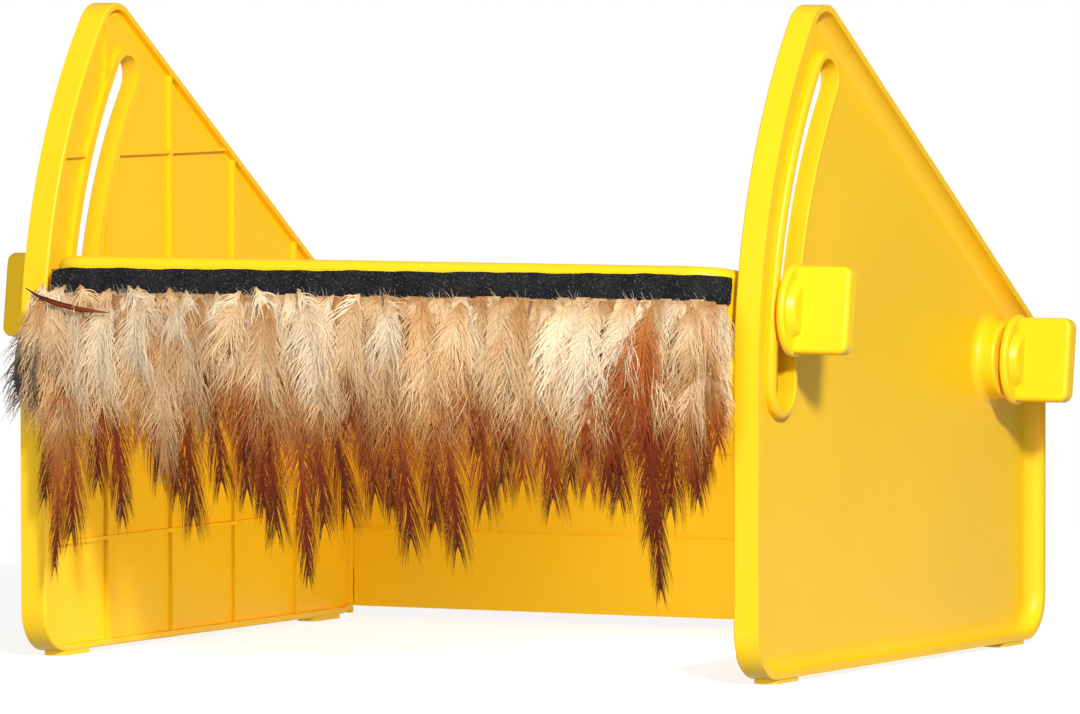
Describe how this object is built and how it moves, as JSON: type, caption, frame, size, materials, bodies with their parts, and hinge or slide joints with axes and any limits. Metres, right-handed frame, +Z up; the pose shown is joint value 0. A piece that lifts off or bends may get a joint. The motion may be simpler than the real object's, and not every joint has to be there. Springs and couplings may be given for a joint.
{
  "type": "heated chick shelter",
  "caption": "Tilting warm plate held between two upright side panels by thumb screws in arc slots, with a hanging feather curtain across the entrance.",
  "frame": {"origin": "on the floor, at the middle of the object's box in plan", "axes": "+X across the entrance to the right-hand panel, -Y out of the entrance, +Z up"},
  "size_m": [0.4462, 0.317, 0.3],
  "materials": {
    "panel_plastic": "satin moulded yellow plastic",
    "plate_plastic": "satin moulded yellow plastic",
    "knob_plastic": "satin moulded yellow plastic",
    "bush_plastic": "yellow plastic",
    "inlet_plastic": "black plastic",
    "film_plastic": "amber film",
    "cutout_plastic": "black moulded",
    "lead_rubber": "insulated wire",
    "insulation_felt": "fibre felt",
    "spreader_metal": "rolled sheet",
    "fixing_steel": "zinc plated",
    "adhesive": "foam tape",
    "ribbon_fabric": "woven black tape",
    "cord_fabric": "twisted cord",
    "feathers": "cream to dark red-brown feathers"
  },
  "bodies": {
    "base": {"side_panel_left": "panel_plastic", "side_panel_right": "panel_plastic", "back_wall": "panel_plastic"},
    "plate": {"plate_top_shell": "plate_plastic", "plate_bottom_shell": "plate_plastic", "heat_spreader": "spreader_metal", "heating_film": "film_plastic", "insulation_pad": "insulation_felt", "thermal_cutout": "cutout_plastic", "power_leads": "lead_rubber", "power_inlet": "inlet_plastic", "captive_nuts": "fixing_steel", "shell_screws": "fixing_steel", "slot_bushes": "bush_plastic", "pivot_bushes": "bush_plastic", "ribbon_adhesive": "adhesive", "curtain_ribbon": "ribbon_fabric"},
    "curtain_header": {"stringing_band": "cord_fabric", "curtain_header": "feathers"},
    "curtain": {"feather_curtain": "feathers"},
    "washer_front_left": {"washer_front_left": "fixing_steel"},
    "knob_front_left": {"knob_front_left": "knob_plastic", "stud_front_left": "fixing_steel"},
    "washer_front_right": {"washer_front_right": "fixing_steel"},
    "knob_front_right": {"knob_front_right": "knob_plastic", "stud_front_right": "fixing_steel"},
    "washer_rear_left": {"washer_rear_left": "fixing_steel"},
    "knob_rear_left": {"knob_rear_left": "knob_plastic", "stud_rear_left": "fixing_steel"},
    "washer_rear_right": {"washer_rear_right": "fixing_steel"},
    "knob_rear_right": {"knob_rear_right": "knob_plastic", "stud_rear_right": "fixing_steel"}
  },
  "joints": [
    {"name": "plate_tilt", "type": "hinge", "parent": "base", "child": "plate", "pos_m": [0, 0.1135, 0.134], "axis": [-1, 0, 0], "range_deg": [-9, 28.5]},
    {"name": "curtain_hang", "type": "hinge", "parent": "plate", "child": "curtain_header", "pos_m": [0, -0.1545, 0.15904], "axis": [-1, 0, 0], "range_deg": [-28.6, 9.1]},
    {"name": "curtain_swing", "type": "hinge", "parent": "curtain_header", "child": "curtain", "pos_m": [0, -0.1545, 0.13904], "axis": [-1, 0, 0], "range_deg": [-55, 80]},
    {"name": "knob_front_left_travel", "type": "slide", "parent": "plate", "child": "washer_front_left", "axis": [-1, 0, 0], "range_m": [0, 0.00406]},
    {"name": "knob_front_left_turn", "type": "hinge", "parent": "washer_front_left", "child": "knob_front_left", "pos_m": [-0.19, -0.10683, 0.16497], "axis": [-1, 0, 0], "range_deg": [0, 1170]},
    {"name": "knob_front_right_travel", "type": "slide", "parent": "plate", "child": "washer_front_right", "axis": [1, 0, 0], "range_m": [0, 0.00406]},
    {"name": "knob_front_right_turn", "type": "hinge", "parent": "washer_front_right", "child": "knob_front_right", "pos_m": [0.19, -0.10683, 0.16497], "axis": [1, 0, 0], "range_deg": [0, 1170]},
    {"name": "knob_rear_left_travel", "type": "slide", "parent": "plate", "child": "washer_rear_left", "axis": [-1, 0, 0], "range_m": [0, 0.00406]},
    {"name": "knob_rear_left_turn", "type": "hinge", "parent": "washer_rear_left", "child": "knob_rear_left", "pos_m": [-0.19, 0.1135, 0.134], "axis": [-1, 0, 0], "range_deg": [0, 1170]},
    {"name": "knob_rear_right_travel", "type": "slide", "parent": "plate", "child": "washer_rear_right", "axis": [1, 0, 0], "range_m": [0, 0.00406]},
    {"name": "knob_rear_right_turn", "type": "hinge", "parent": "washer_rear_right", "child": "knob_rear_right", "pos_m": [0.19, 0.1135, 0.134], "axis": [1, 0, 0], "range_deg": [0, 1170]}
  ],
  "couplings": [
    {"joint": "curtain_hang", "follows": "plate_tilt", "ratio": -1},
    {"joint": "knob_front_left_turn", "follows": "knob_front_left_travel", "rad_per_m": 5026.5},
    {"joint": "knob_front_right_turn", "follows": "knob_front_right_travel", "rad_per_m": 5026.5},
    {"joint": "knob_rear_left_turn", "follows": "knob_rear_left_travel", "rad_per_m": 5026.5},
    {"joint": "knob_rear_right_turn", "follows": "knob_rear_right_travel", "rad_per_m": 5026.5}
  ]
}
